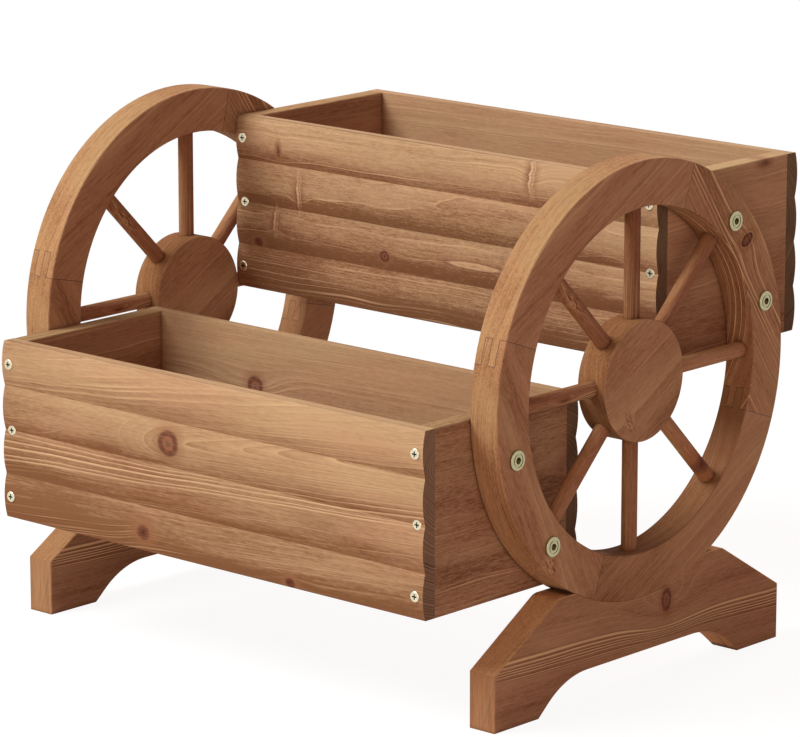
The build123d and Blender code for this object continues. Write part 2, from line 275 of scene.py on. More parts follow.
# Patterns in fir: the length along the grain and the width of each one's streaks, in millimetres
STRAY = (170, 48)  # slow waves in the rings
GOOD_YEARS = (130, 24)  # stretches where the crests stand out
GAPS = (70, 9)  # breaks in a crest
BLOTCHES = (150, 30)  # stain that went in unevenly
HUES = (220, 44)  # redder and yellower stretches
FLECKS = (9, 2.2)  # short flecks of stain
TUFTS = (4, 1.0)  # broken ends of fibres
LIFTED = (8, 0.8)  # torn fibres that stand up
RAGGED = (9, 5)  # the uneven edge of a knot
RAGGED_BY = 1.6  # how far that edge strays
TORN = (60, 9)  # the uneven edge of a ridge
TORN_BY = 13.0  # how far that edge strays
FIBRE_LENGTH = 30  # a fibre's length in fibre widths
SAW_LENGTH = 60  # length of the upright lines on sawn ends
# How far the noise moves from one seed to the next
SEED_STEP = (7.31, 3.77, 5.13)
# The dark late wood beside a crest is this many times as wide as the crest
LATE_WOOD = 1.3
# A knot's push falls off as a bell curve, a power of about one over e
BELL = 0.37
# A knot that pushes the rings this many millimetres brings out the soft rings round it in full
FULL_PUSH = 14


def fir(name, tone, centre, grain, face, heart, seed, spacing=3.0, slope=(0.0, 0.0), wander=9.0,
        crest=1.0, band=None, quiet=0.55, figure=1.0, fade=(0.0, 0.0), log_pitch=0.0, log_shade=0.3,
        sawn_ends=0.85, end_stain=None, end_lines=0.0, fuzz=0.25, way_tints=(), knots_and_shadows=()):
    """Stained fir, sawn and planed, with a matt oil finish.

    The figure is a solid one: growth rings round a heart line, cut by whatever face shows. Each ring
    ends in dark late wood with a pale raised crest beside it, and long fibres run along the grain.
    In the board's own millimetres u runs along the grain, v across the face and w out of the face.

    heart is the heart line's (v, w), slope its angles (across, out) in degrees from the grain,
    spacing the ring width, and wander how far rings stray. crest is how bold the crests are. band is
    the (radius, width, threshold) of the years that grew the strongest ones, on the -v side of the
    heart where it is beside the board: a low threshold makes more of them strong, and the crests of
    the other years are only quiet as strong.

    figure is how uneven the stain is, fuzz how many torn pale fibres stand up, and fade how much
    paler the colour is painted per millimetre along u and v: painted light and shade across the board.
    log_pitch is the height of one half log, and log_shade how much darker each half log is painted
    along its lower edge: painted shade. sawn_ends is how much of the ends' own colour shows, end_stain
    that colour, and end_lines the spacing of the upright lines on ends whose rings are too fine to
    show. way_tints lists (way, tint) for the faces towards some ways of the board that are tinted
    otherwise: some took the stain otherwise, and some carry painted light and shade.

    Each knot is (u, v, radius along, radius across, reach along, reach across, push, tail, look).
    A soft knot can also be a painted shadow.
    push is how far it moves the rings aside, reach how far that is felt, and a small tail lets it
    trail off towards +u. look is one of knot_stops. A scar's radii are the size of its threads, and
    a scar or a ridge is only as big as its reach."""
    wood = bpy.context.scene.planter_wood
    material, tree = new_material(name)
    node = functools.partial(add, tree)
    grain, face = Vector(grain).normalized(), Vector(face).normalized()
    turn = Matrix((grain, face.cross(grain), face))
    angles = turn.to_euler("XYZ")
    place = -(turn @ Vector(centre)) / MM
    board = node("ShaderNodeMapping", None,
                 {"Vector": node("ShaderNodeTexCoord", out=3), "Location": place, "Rotation": angles,
                  "Scale": (1 / MM,) * 3})
    offset = tuple(seed * step for step in SEED_STEP)

    def streaks(along, across, detail, rough=0.5, out=0):
        """Noise in streaks that many millimetres long and wide."""
        spread = node("ShaderNodeVectorMath", TIMES_PLUS,
                      {0: board, 1: (1 / along, 1 / across, 1 / across), 2: offset})
        return node("ShaderNodeTexNoise", None,
                    {"Vector": spread, "Scale": 1.0, "Detail": detail, "Roughness": rough}, out)

    # Rings: distance from the heart line, strayed by slow noise and pushed aside by knots
    lean_across, lean_out = math.radians(slope[0]), math.radians(slope[1])
    lean = Matrix.Rotation(-lean_across, 3, "Z") @ Matrix.Rotation(lean_out, 3, "Y")
    leaned = node("ShaderNodeMapping", None,
                  {"Vector": board, "Location": -(lean @ Vector((0, *heart))),
                   "Rotation": lean.to_euler("XYZ")})
    ray = node("ShaderNodeVectorMath", TIMES, {0: leaned, 1: (0, 1, 1)})
    radius = node("ShaderNodeVectorMath", {"operation": "LENGTH"}, {0: ray}, out=1)
    radius = node("ShaderNodeMath", TIMES_PLUS, {0: streaks(*STRAY, 2.0), 1: wander, 2: radius})
    radius = node("ShaderNodeMath", LESS, {0: radius, 1: wander / 2})
    ragged = node("ShaderNodeVectorMath", TIMES_PLUS,
                  {0: streaks(*RAGGED, 2.0, out=1), 1: (RAGGED_BY, RAGGED_BY, 0), 2: board})
    torn = node("ShaderNodeVectorMath", TIMES_PLUS,
                {0: streaks(*TORN, 4.0, 0.8, out=1), 1: (TORN_BY, 0, 0), 2: board})
    marks, swirl = [], 0.0
    for u, v, along, across, reach_u, reach_v, push, tail, look in knots_and_shadows:
        spot = lean @ Vector((u, v - heart[0], -heart[1]))
        far = node("ShaderNodeMapping", None,
                   {"Vector": leaned, "Location": (-spot.x / reach_u, -spot.y / reach_v, 0),
                    "Scale": (1 / reach_u, 1 / reach_v, 0)})
        trailed = node("ShaderNodeVectorMath", TIMES, {0: far, 1: (tail, 1, 1)})
        far = node("ShaderNodeVectorMath", {"operation": "MINIMUM"}, {0: far, 1: trailed})
        off = node("ShaderNodeVectorMath", DOT, {0: far, 1: far}, out=1)
        fall = node("ShaderNodeMath", {"operation": "POWER"}, {0: BELL, 1: off})
        radius = node("ShaderNodeMath", TIMES_PLUS, {0: fall, 1: push, 2: radius})
        swirl = node("ShaderNodeMath", TIMES_PLUS, {0: fall, 1: abs(push) / FULL_PUSH, 2: swirl})
        if look == "ridge":
            near = node("ShaderNodeMapping", None,
                        {"Vector": torn, "Location": (0.5 - (u + TORN_BY / 2) / (2 * along), 0, 0),
                         "Scale": (0.5 / along, 0, 0)})
            marks.append((node("ShaderNodeSeparateXYZ", None, {0: near}), fall, look))
        elif look == "scar":
            marks.append((streaks(along, across, 2.0, 0.6), fall, look))
        else:
            shift_u, shift_v = u + RAGGED_BY / 2, v + RAGGED_BY / 2
            near = node("ShaderNodeMapping", None,
                        {"Vector": ragged,
                         "Location": (-shift_u / (2 * along), -shift_v / (2 * across), 0),
                         "Scale": (0.5 / along, 0.5 / across, 0)})
            near = node("ShaderNodeVectorMath", {"operation": "LENGTH"}, {0: near}, out=1)
            marks.append((near, 1.0, look))

    # Years: each has its own width and vigour, and only the vigorous ones raise a crest
    phase = node("ShaderNodeMath", {"operation": "DIVIDE"}, {0: radius, 1: spacing})
    climate = node("ShaderNodeMath", TIMES_PLUS, {0: phase, 1: 0.37, 2: seed * 2.3})
    years = node("ShaderNodeTexNoise", {"noise_dimensions": "1D"},
                 {"W": climate, "Scale": 1.0, "Detail": 1.0})
    phase = node("ShaderNodeMath", TIMES_PLUS, {0: years, 1: 2.0, 2: phase})
    ring = node("ShaderNodeMath", {"operation": "FRACT"}, {0: phase})
    year = node("ShaderNodeMath", {"operation": "FLOOR"}, {0: phase})
    year = node("ShaderNodeMath", TIMES_PLUS, {0: year, 1: 1.63, 2: seed})
    vigour = node("ShaderNodeTexNoise", {"noise_dimensions": "1D"},
                  {"W": year, "Scale": 1.0, "Detail": 0.0})
    patch = node("ShaderNodeMapRange", SMOOTH,
                 {0: streaks(*GOOD_YEARS, 1.0), 1: 0.40, 2: 0.60, 3: 0.1, 4: 0.8})
    strong = node("ShaderNodeMapRange", SMOOTH, {0: vigour, 1: 0.42, 2: 0.62, 3: 0.1, 4: 1.0})
    strong = node("ShaderNodeMath", TIMES, {0: strong, 1: patch})
    if band:
        middle_ring, reach, threshold = band
        away = node("ShaderNodeMath", LESS, {0: radius, 1: middle_ring})
        away = node("ShaderNodeMath", {"operation": "ABSOLUTE"}, {0: away})
        best = node("ShaderNodeMapRange", SMOOTH, {0: away, 1: reach, 2: reach * 0.5, 3: 0.0, 4: 1.0})
        grown = node("ShaderNodeMapRange", SMOOTH,
                     {0: vigour, 1: threshold, 2: threshold + 0.10, 3: 0.12, 4: 1.0})
        best = node("ShaderNodeMath", TIMES, {0: best, 1: grown})
        beside = node("ShaderNodeVectorMath", DOT, {0: leaned, 1: (0, 1, 0)}, out=1)
        beside = node("ShaderNodeMapRange", None, {0: beside, 1: -8.0, 2: 8.0, 3: 1.0, 4: 0.2})
        best = node("ShaderNodeMath", TIMES, {0: best, 1: beside})
        strong = node("ShaderNodeMath", TIMES, {0: strong, 1: quiet})
        strong = node("ShaderNodeMath", LARGER, {0: strong, 1: best})
    broken = node("ShaderNodeMapRange", None, {0: streaks(*GAPS, 1.0), 1: 0.36, 2: 0.56, 3: 0.5, 4: 1.0})
    strong = node("ShaderNodeMath", TIMES, {0: strong, 1: broken})

    # A crest keeps its width however slantwise the face cuts the rings
    out_of_face = node("ShaderNodeMapping", {"vector_type": "VECTOR"},
                       {"Vector": node("ShaderNodeNewGeometry", out=3), "Rotation": angles})
    ray = node("ShaderNodeVectorMath", {"operation": "NORMALIZE"}, {0: ray})
    facing = node("ShaderNodeVectorMath", DOT, {0: out_of_face, 1: ray}, out=1)
    slant = node("ShaderNodeMath", TIMES, {0: facing, 1: facing})
    slant = node("ShaderNodeMath", LESS, {0: 1.0, 1: slant})
    slant = node("ShaderNodeMath", LARGER, {0: slant, 1: 0.01})
    slant = node("ShaderNodeMath", {"operation": "SQRT"}, {0: slant})
    width = node("ShaderNodeMath", TIMES, {0: slant, 1: wood.line_width / MM / spacing})
    width = node("ShaderNodeMath", {"operation": "MINIMUM"}, {0: width, 1: 0.45})
    flat = node("ShaderNodeMath", TIMES, {0: width, 1: 0.4})
    pale = node("ShaderNodeMapRange", SMOOTH, {0: ring, 1: flat, 2: width, 3: 1.0, 4: 0.0})
    pale = node("ShaderNodeMath", TIMES, {0: pale, 1: strong})
    late = node("ShaderNodeMath", TIMES_PLUS, {0: width, 1: -LATE_WOOD, 2: 1.0})
    dark = node("ShaderNodeMapRange", SMOOTH, {0: ring, 1: late, 2: 1.0})
    dark = node("ShaderNodeMath", TIMES, {0: dark, 1: strong})

    # Stain: blotches, flecks and fibres round the board's own tone, and soft rings near knots
    fibre_mm = wood.fibre_width / MM
    fibre = streaks(FIBRE_LENGTH * fibre_mm, fibre_mm, 3.0, 0.6)
    fleck = streaks(*FLECKS, 2.0, 0.6)
    weights = (
        (streaks(*BLOTCHES, 2.0), 0.8),
        (fleck, 0.55),
        (fibre, 0.8),
        (vigour, 0.3),
        (streaks(*TUFTS, 2.0, 0.7), 1.4 * fuzz),
    )
    tint = 0.5 - 0.5 * figure * sum(weight for _, weight in weights)
    for pattern, weight in weights:
        tint = node("ShaderNodeMath", TIMES_PLUS, {0: pattern, 1: weight * figure, 2: tint})
    soft_ring = node("ShaderNodeMath", LESS, {0: 0.45, 1: ring})
    soft_ring = node("ShaderNodeMath", TIMES, {0: soft_ring, 1: swirl})
    tint = node("ShaderNodeMath", TIMES_PLUS, {0: soft_ring, 1: 0.55, 2: tint})
    # Painted light and shade: the colour gets paler along u and v by the given slope
    if any(fade):
        faded = node("ShaderNodeVectorMath", DOT, {0: board, 1: (*fade, 0)}, out=1)
        tint = node("ShaderNodeMath", {"operation": "ADD"}, {0: faded, 1: tint})
    if log_pitch:
        # Painted shade: each half log is darker along its lower edge
        up_board = node("ShaderNodeSeparateXYZ", None, {0: board}, out=1)
        up_log = node("ShaderNodeMath", TIMES_PLUS, {0: up_board, 1: 1 / log_pitch, 2: 2.0})
        up_log = node("ShaderNodeMath", {"operation": "FRACT"}, {0: up_log})
        painted_log_shade = node("ShaderNodeMapRange", SMOOTH, {0: up_log, 1: 0.55, 2: 0.0, 3: 0.0, 4: -log_shade})
        outside = node("ShaderNodeSeparateXYZ", None, {0: board}, out=2)
        outside = node("ShaderNodeMapRange", None, {0: outside, 1: -1.0, 2: 1.0})
        tint = node("ShaderNodeMath", TIMES_PLUS, {0: painted_log_shade, 1: outside, 2: tint})
    stain_stops = ((0.0, shade(tone, *DARKEST)), (0.5, shade(tone, 1, 1, 1)), (1.0, shade(tone, *PALEST)))
    surface = node("ShaderNodeValToRGB", {"stops": stain_stops}, {0: tint})
    hue_stops = ((0.38, (1.0, 0.95, 0.95, 1)), (0.62, (0.98, 1.0, 0.97, 1)))
    hue = node("ShaderNodeValToRGB", {"stops": hue_stops}, {0: streaks(*HUES, 1.0)})
    surface = node("ShaderNodeMix", TINTED, {0: 1.0, 6: surface, 7: hue}, 2)
    # Faces towards some ways get their own tint: a stain that took otherwise, and on some boards painted
    # light and shade
    for way, tint_of_way in way_tints:
        towards = node("ShaderNodeVectorMath", DOT, {0: out_of_face, 1: way}, out=1)
        towards = node("ShaderNodeMapRange", SMOOTH, {0: towards, 1: 0.3, 2: 0.8})
        surface = node("ShaderNodeMix", TINTED, {0: towards, 6: surface, 7: (*tint_of_way, 1)}, 2)

    # Sawn ends drink more stain and show the rings as dark lines
    sawn = node("ShaderNodeVectorMath", DOT, {0: out_of_face, 1: (1, 0, 0)}, out=1)
    sawn = node("ShaderNodeMath", {"operation": "ABSOLUTE"}, {0: sawn})
    sawn = node("ShaderNodeMapRange", SMOOTH, {0: sawn, 1: 0.8, 2: 0.95, 3: 0.0, 4: sawn_ends})
    end_stops = tuple((at, shade(end_stain or wood.end_grain, deep, deep, deep))
                      for at, deep in ((0.0, 1.3), (0.45, 1.0), (1.0, 0.27)))
    end_mark = ring
    if end_lines:
        saw = node("ShaderNodeVectorMath", TIMES, {0: board, 1: (0, 1 / SAW_LENGTH, 0.5 / end_lines)})
        saw = node("ShaderNodeTexNoise", None, {"Vector": saw, "Scale": 1.0, "Detail": 1.0})
        end_mark = node("ShaderNodeMapRange", None, {0: saw, 1: 0.35, 2: 0.65, 3: 0.1, 4: 0.65})
    end_ring = node("ShaderNodeValToRGB", {"stops": end_stops}, {0: end_mark})
    surface = node("ShaderNodeMix", COLOURS, {0: sawn, 6: surface, 7: end_ring}, 2)

    # Late wood and crests lie over the stain, but not on the sawn ends
    flush = node("ShaderNodeMath", LESS, {0: 1.0, 1: sawn})
    dark = node("ShaderNodeMath", TIMES, {0: dark, 1: 0.50 * crest})
    dark = node("ShaderNodeMath", TIMES, {0: dark, 1: flush})
    surface = node("ShaderNodeMix", COLOURS, {0: dark, 6: surface, 7: shade(tone, *LATE)}, 2)
    lifted = node("ShaderNodeMapRange", SMOOTH,
                  {0: streaks(*LIFTED, 3.0, 0.7), 1: 0.55, 2: 0.75, 3: 0.0, 4: 0.8 * fuzz})
    pale = node("ShaderNodeMath", TIMES, {0: pale, 1: 0.80 * crest})
    pale = node("ShaderNodeMath", LARGER, {0: pale, 1: lifted})
    pale = node("ShaderNodeMath", TIMES, {0: pale, 1: flush})
    surface = node("ShaderNodeMix", COLOURS, {0: pale, 6: surface, 7: (*wood.grain_line, 1)}, 2)
    relief = node("ShaderNodeMath", TIMES_PLUS, {0: fibre, 1: 0.5, 2: pale})
    relief = node("ShaderNodeMath", LESS, {0: relief, 1: dark})
    worn = node("ShaderNodeMapRange", None, {0: fleck, 1: 0.3, 2: 0.55, 3: 0.75, 4: 1.15})
    for off, held, look in marks:
        mark = node("ShaderNodeValToRGB", {"stops": knot_stops(look, tone)}, {0: off})
        cover = node("ShaderNodeMath", TIMES, {0: mark.node.outputs["Alpha"], 1: worn})
        cover = node("ShaderNodeMath", TIMES, {0: cover, 1: held})
        surface = node("ShaderNodeMix", COLOURS, {0: cover, 6: surface, 7: mark}, 2)
        relief = node("ShaderNodeMath", TIMES_PLUS, {0: cover, 1: -0.4, 2: relief})

    # Painted shade darkens the grooves and the corners where pieces meet
    corner = node("ShaderNodeAmbientOcclusion", {"samples": 4}, {"Distance": 6 * MM}, out=1)
    corner = node("ShaderNodeMapRange", SMOOTH, {0: corner, 1: 0.35, 2: 0.85, 3: 0.75, 4: 0.0})
    surface = node("ShaderNodeMix", COLOURS, {0: corner, 6: surface, 7: shade(tone, *CREVICE_SHADE)}, 2)
    bump = node("ShaderNodeBump", None, {"Height": relief, "Distance": 0.5 * MM, "Strength": 0.6}, out=0)
    rough = node("ShaderNodeMapRange", None, {0: tint, 1: 0.1, 2: 0.9, 3: 0.80, 4: 0.68})
    shader = node("ShaderNodeBsdfPrincipled", None,
                  {"Base Color": surface, "Roughness": rough, "IOR": 1.45, "Specular IOR Level": 0.12,
                   "Normal": bump})
    node("ShaderNodeOutputMaterial", None, {0: shader})
    return material


def plated_steel(name, plate, roughness, shut, open_to):
    """Zinc-plated steel: a soft metal gleam, clouded a little by the plating's crystals, and painted
    dark in its recesses as painted shade. Metal that sees less of the sky than shut is black with it,
    and metal that sees more than open_to is unshaded."""
    material, tree = new_material(name)
    point = add(tree, "ShaderNodeTexCoord", out=3)
    cloud = add(tree, "ShaderNodeTexNoise", None,
                {"Vector": point, "Scale": 1 / (1.5 * MM), "Detail": 2.0})
    plate_stops = ((0.25, shade(plate, 0.80, 0.80, 0.74)), (0.75, shade(plate, 1.08, 1.08, 1.08)))
    tone = add(tree, "ShaderNodeValToRGB", {"stops": plate_stops}, {0: cloud})
    # Painted shade: metal that sees little of the sky within 4 mm is darkened
    hollow = add(tree, "ShaderNodeAmbientOcclusion", {"only_local": True, "samples": 8},
                 {"Distance": 4 * MM}, out=1)
    open_part = add(tree, "ShaderNodeMapRange", SMOOTH, {0: hollow, 1: shut, 2: open_to})
    recess_shade = (*bpy.context.scene.planter_metal.recess_shade, 1)
    tone = add(tree, "ShaderNodeMix", COLOURS, {0: open_part, 6: recess_shade, 7: tone}, 2)
    rough = add(tree, "ShaderNodeMapRange", None, {0: cloud, 3: roughness - 0.06, 4: roughness + 0.08})
    bump = add(tree, "ShaderNodeBump", None, {"Height": cloud, "Distance": 0.05 * MM, "Strength": 0.3})
    shader = add(tree, "ShaderNodeBsdfPrincipled", None,
                 {"Base Color": tone, "Metallic": 1.0, "Roughness": rough, "Normal": bump})
    add(tree, "ShaderNodeOutputMaterial", None, {0: shader})
    return material


def glue_film(name):
    """Dried wood glue under stain: a thin dark film, a little shinier than the wood."""
    material, tree = new_material(name)
    point = add(tree, "ShaderNodeTexCoord", out=3)
    grime = add(tree, "ShaderNodeTexNoise", None, {"Vector": point, "Scale": 1 / (6 * MM), "Detail": 2.0})
    glue = bpy.context.scene.planter_wood.glue
    glue_stops = ((0.3, shade(glue, 0.7, 0.7, 0.7)), (0.7, shade(glue, 1.3, 1.3, 1.3)))
    tone = add(tree, "ShaderNodeValToRGB", {"stops": glue_stops}, {0: grime})
    shader = add(tree, "ShaderNodeBsdfPrincipled", None, {"Base Color": tone, "Roughness": 0.5})
    add(tree, "ShaderNodeOutputMaterial", None, {0: shader})
    return material


def finish(node, material):
    """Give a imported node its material."""
    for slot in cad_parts[node].material_slots:
        slot.material = material


def middle(node):
    """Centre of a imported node."""
    low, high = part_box(node)
    return (low + high) / 2


# Boards: heart, ring width, slope and knots, in the board's own millimetres
# fade is painted light and shade across a board
PANEL_FIGURE = {
    "lower_front": dict(
        heart=(31, -46), spacing=2.2, slope=(4.6, 1.2), seed=5.0, wander=4, band=(66, 10, 0.24),
        quiet=0.85, figure=1.1, fade=(0.0006, 0.0050), fuzz=0.08, end_stain=stain("#85695a"),
        knots_and_shadows=((-45.6, 22.4, 12.8, 12, 40, 17, -13, 0.02, "sound"),
               (-78.7, -66.3, 11, 10, 30, 12, 4, 0.6, "soft"),
               (103.3, -80, 8, 7, 24, 10, 4, 1, "soft")),
    ),
    "lower_back": dict(
        heart=(-30, -52), spacing=2.8, slope=(-2.0, 0.3), seed=5.0, wander=10, band=(70, 8, 0.35),
        fade=(0, 0.0042),
        knots_and_shadows=((120, 30, 10, 10, 40, 15, 12, 0.5, "sound"), (-150, -40, 8, 8, 30, 12, 6, 1, "soft")),
    ),
    # Its half logs are painted darker along their lower edges: painted shade
    "upper_front": dict(
        heart=(10, -70), spacing=2.2, slope=(0.8, 0.3), seed=15.0, wander=10,
        figure=1.4, fade=(0.0006, 0.0050), fuzz=0.5, log_shade=0.62,
        knots_and_shadows=((-205.9, 55.6, 3.5, 8, 20, 12, 3, 1, "soft"),
               (-179.5, 16.1, 12, 14, 13, 15, 2, 1, "ridge"),
               (-209.7, -12.4, 12, 10, 12, 12, 3, 1, "ridge"),
               (-234.6, -37.5, 8, 6.5, 20, 10, 3, 1, "soft"),
               (-67.7, -28.7, 6, 5.5, 20, 9, 3, 1, "sound"),
               (45, -22.7, 40, 3.8, 60, 8, 2, 1, "lens"),
               (114.1, 70.8, 13, 16, 15, 17, 3, 1, "ridge")),
    ),
    "upper_back": dict(
        heart=(20, -50), spacing=2.6, slope=(-1.5, 0.3), seed=13.0, wander=10, band=(64, 8, 0.35),
        fade=(0, 0.0042),
        knots_and_shadows=((-90, 24, 10, 10, 40, 15, 12, 0.5, "sound"), (160, -20, 7, 7, 30, 12, 6, 1, "soft")),
    ),
}
# Half logs in a panel
LOGS = 4

# The box ends are solid boards with their grain along Y
END_FIGURE = {
    # fade is painted light and shade along a board
    "lower_right": dict(
        heart=(30, -60), spacing=3.4, slope=(-1.0, 0.4), seed=21.0, wander=12, band=(120, 7, 0.4),
        figure=1.7, fuzz=0.4, knots_and_shadows=((36, 42, 6, 3, 20, 8, 3, 1, "soft"),),
    ),
    "lower_left": dict(
        heart=(30, -60), spacing=3.4, slope=(-1.0, 0.4), seed=24.0, wander=12, band=(90, 7, 0.4),
    ),
    "upper_right": dict(
        heart=(-46, -60), spacing=3.4, slope=(1.5, 0.5), seed=27.0, wander=12, band=(62, 6, 0.4),
        fade=(0, 0.0045), knots_and_shadows=((53.6, 80.5, 9, 3.5, 24, 8, 4, 1, "soft"),),
    ),
    "upper_left": dict(
        heart=(-46, -60), spacing=3.4, slope=(1.5, 0.5), seed=30.0, wander=12, band=(80, 7, 0.4),
    ),
}
# How light each box's ends stayed under the stain, and the way and tint of their planed top edges
END_LIGHTNESS = {"lower": 1.0, "upper": 1.14}
TOP_EDGE = ((0, 1, 0), (1.08, 1.24, 1.05))

# The sides of a wheel were sanded last and drink more stain than its tread
SANDED = (0.96, 0.90, 1.12)
WHEEL_DRINKS = (((0, 0, 1), SANDED), ((0, 0, -1), SANDED))

# Each felloe is sawn with its grain along its own chord. Its angle is the middle of its arc, and inner
# and outer are the tints of its rim and its tread. The darker inner tints of the bottom and rear
# felloes are painted shade on their rims, and fade paints light and shade along a felloe.
FELLOE_FIGURE = {
    "top": dict(
        angle=118.6, inner=SANDED, outer=(1, 1, 1), heart=(60, -330), spacing=1.1, slope=(2.0, 0.1),
        seed=41.0, wander=1.6, crest=0.5, figure=1.1,
    ),
    "front": dict(
        angle=208.6, inner=SANDED, outer=(0.90, 0.83, 0.84), heart=(-70, -330), spacing=1.1,
        slope=(-3.0, 0.1), seed=44.0, wander=1.6, crest=0.7, figure=1.35,
        knots_and_shadows=((-65.2, 2, 7, 2.2, 12, 9, 3, 1, "scar"),),
    ),
    "bottom": dict(
        angle=298.6, inner=(0.56, 0.44, 0.42), outer=(1, 1, 1), heart=(60, -330), spacing=1.1,
        slope=(2.0, 0.1), seed=47.0, wander=1.6, crest=0.4, figure=1.0, fade=(-0.0018, 0),
    ),
    "rear": dict(
        angle=388.6, inner=(0.74, 0.62, 0.62), outer=(1, 1, 1), heart=(120, -330), spacing=1.6,
        slope=(6.0, 0.05), seed=50.0, wander=2.0, crest=1.3, figure=1.3, fuzz=0.45, fade=(0.0012, 0),
        band=(370, 60, 0.47), knots_and_shadows=((-23.6, -0.4, 6, 9.5, 24, 14, 3.5, 1, "dark"),),
    ),
}

# The hub's grain is this many degrees steep. Its turned edge is half end grain, and it is painted
# darker than its faces: painted shade.
HUB_GRAIN = 28.6
HUB_SIDE_SHADE = (0.60, 0.46, 0.40)
HUB_FIGURE = dict(
    heart=(-60, -300), spacing=1.1, seed=53.0, wander=1.6, crest=0.4, figure=1.4, sawn_ends=0.3,
    knots_and_shadows=((-33.2, -20.5, 4.5, 8, 4.5, 9, 3, 1, "ridge"),),
)

# How light each dowel spoke stayed under the stain, from the rear one up over the top. A dowel that
# drank more is redder too, by these powers of its lightness. The knots are by place in that order.
SPOKE_LIGHTNESS = {
    "left": (1.0, 1.0, 0.78, 0.88, 0.90, 1.0, 1.0, 1.0),
    "right": (1.18, 0.82, 0.60, 0.82, 0.83, 1.05, 0.88, 1.22),
}
SPOKE_TINT = (0.92, 0.84, 0.82)
SPOKE_REDDENING = (1, 1.25, 1.3)
SPOKE_FIGURE = dict(heart=(14, -26), spacing=2.2, slope=(1.0, 1.0), wander=5, figure=1.2)
SPOKE_KNOTS_AND_SHADOWS = {
    3: ((22, 3, 7, 1.2, 16, 5, 4, 1, "scar"),),
    4: ((-2, 1, 7, 2.2, 24, 6, 4, 1, "soft"),),
    # Painted shadow of the rim: a soft dark patch near the rim end of the eighth spoke
    7: ((34, 0, 14, 12, 12, 6, 2, 1, "soft"),),
}

# Both feet have one figure. They differ in how their sawn ends took the stain, and in painted light
# and shade on their top edges and their right sides: the right foot's top edge is painted lighter,
# the left foot's right side darker.
FOOT_FIGURE = dict(
    heart=(70, -330), seed=33.0, spacing=0.62, slope=(-1.7, 0.05), wander=1.2, band=(353.2, 2.6, 0.2),
    quiet=0.2, crest=1.7, sawn_ends=0.6, end_lines=0.8,
    knots_and_shadows=((35.5, 19.6, 7, 11, 44, 24, -4.2, 1, "sound"),),
)
FOOT_TINTS = {
    "left": dict(top=(0.97, 0.99, 0.75), side=(0.78, 0.78, 0.78), end=(0.95, 1.00, 0.73)),
    "right": dict(top=(1.65, 1.80, 1.52), side=(1.0, 1.0, 1.0), end=(1.02, 0.94, 0.70)),
}
# The underside of each foot's arch is painted lighter: painted light
FOOT_UNDERSIDE_LIGHT = (1.9, 1.95, 1.7)

# Samples of a glue line between two of its corners
SAMPLES = 6

# Each light's place and size in metres. They all face the planter.
LAMPS = (
    ("key", (-1.65, -2.48, 3.2), 2.4),
    ("fill", (2.4, -3.0, 1.25), 2.0),
    ("back", (-0.8, 3.4, 2.4), 2.0),
)
# The shadow on the floor fades out between these distances from the planter's middle, in metres
SHADOW_FADE = (0.6, 1.5)
# What the paper gives off near the planter, so that it looks white where the light reaches it
PAPER_GLOW = 0.915
# How far the camera sees, in metres: past the corners of the floor
SIGHT = 200


class PLANTER_OT_boxes(bpy.types.Operator):
    """Stain the half-log panels and the box ends"""

    bl_idname = "planter.boxes"
    bl_label = "Finish the boxes"

    def execute(self, context):
        wood = context.scene.planter_wood
        for box in BOXES:
            for part, out in (("front", -1), ("back", 1)):
                node = f"{box}_{part}_panel"
                low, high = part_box(node)
                finish(node, fir(f"stained fir {box} {part} panel", wood.panel_stain, middle(node),
                                 (-out, 0, 0), (0, out, 0), log_pitch=(high.z - low.z) / LOGS / MM,
                                 **PANEL_FIGURE[f"{box}_{part}"]))
            tone = shade(wood.end_stain, *(END_LIGHTNESS[box],) * 3)
            for side, sign in SIDES.items():
                node = f"{box}_{side}_end"
                finish(node, fir(f"stained fir {box} {side} end", tone, middle(node), (0, sign, 0),
                                 (sign, 0, 0), way_tints=(TOP_EDGE,), **END_FIGURE[f"{box}_{side}"]))
        return {"FINISHED"}


class PLANTER_OT_floors(bpy.types.Operator):
    """Stain the floor slats and the battens that carry them"""

    bl_idname = "planter.floors"
    bl_label = "Finish the box floors"

    def execute(self, context):
        tone = context.scene.planter_wood.floor_stain
        for row, box in enumerate(BOXES):
            for slat in (1, 2, 3):
                node = f"{box}_floor_slat_{slat}"
                finish(node, fir(f"stained fir {node.replace('_', ' ')}", tone, middle(node), (1, 0, 0),
                                 (0, 0, 1), heart=(20 * slat - 30, -40), seed=60.0 + 5 * row + slat))
            for side, sign in SIDES.items():
                node = f"{box}_{side}_batten"
                finish(node, fir(f"stained fir {node.replace('_', ' ')}", tone, middle(node), (0, 1, 0),
                                 (0, 0, 1), heart=(30, -30), seed=75.0 + row + 2 * sign))
        return {"FINISHED"}


